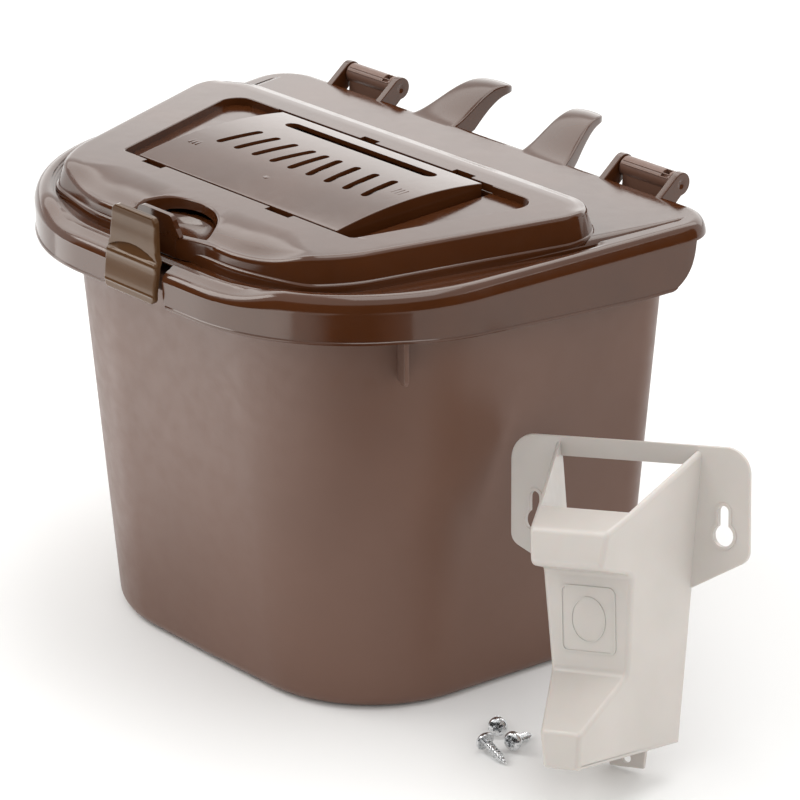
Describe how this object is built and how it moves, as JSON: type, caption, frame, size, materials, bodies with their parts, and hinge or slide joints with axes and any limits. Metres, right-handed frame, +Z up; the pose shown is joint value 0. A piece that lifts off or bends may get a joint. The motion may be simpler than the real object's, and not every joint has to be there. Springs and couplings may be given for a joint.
{
  "type": "kitchen food scrap caddy",
  "caption": "Wedge-shaped kitchen food scrap caddy with a hinged vented lid, front latch tab, rear finger horns, loose wall bracket and fixing screws.",
  "frame": {"origin": "centre of the bucket's base on the floor", "axes": "+Z up, -Y towards the latch, +Y towards the hinges, +X towards the wall bracket"},
  "size_m": [0.3695, 0.2503, 0.2204],
  "materials": {
    "satin_brown": "satin moulded",
    "gloss_brown": "high gloss moulded",
    "ivory": "soft gloss moulded",
    "zinc": "bright zinc plate"
  },
  "bodies": {
    "bucket": {"bucket": "satin_brown"},
    "lid": {"lid": "gloss_brown", "hinge_pin_left": "gloss_brown", "hinge_pin_right": "gloss_brown"},
    "latch": {"front_latch": "gloss_brown"},
    "insert": {"vent_insert": "gloss_brown"},
    "bracket": {"wall_bracket": "ivory"},
    "loose_screw_1": {"screw_1": "zinc"},
    "loose_screw_2": {"screw_2": "zinc"},
    "loose_screw_3": {"screw_3": "zinc"}
  },
  "joints": [
    {"name": "lid_hinge", "type": "hinge", "parent": "bucket", "child": "lid", "pos_m": [0, 0.1031, 0.2064], "axis": [-1, 0, 0], "range_deg": [0, 110]},
    {"name": "latch_flex", "type": "hinge", "parent": "lid", "child": "latch", "pos_m": [0, -0.112, 0.2], "axis": [-1, 0, 0], "range_deg": [0, 12], "stiffness_Nm_per_rad": 0.5},
    {"name": "insert_lift", "type": "slide", "parent": "lid", "child": "insert", "axis": [0, 0, 1], "range_m": [0, 0.035]},
    {"name": "bracket_move", "type": "slide", "parent": "bucket", "child": "bracket", "axis": [1, 0, 0], "range_m": [0, 0.08]},
    {"name": "screw_1_lift", "type": "slide", "parent": "bucket", "child": "loose_screw_1", "axis": [0, 0, 1], "range_m": [0, 0.025]},
    {"name": "screw_2_lift", "type": "slide", "parent": "bucket", "child": "loose_screw_2", "axis": [0, 0, 1], "range_m": [0, 0.025]},
    {"name": "screw_3_lift", "type": "slide", "parent": "bucket", "child": "loose_screw_3", "axis": [0, 0, 1], "range_m": [0, 0.025]}
  ]
}
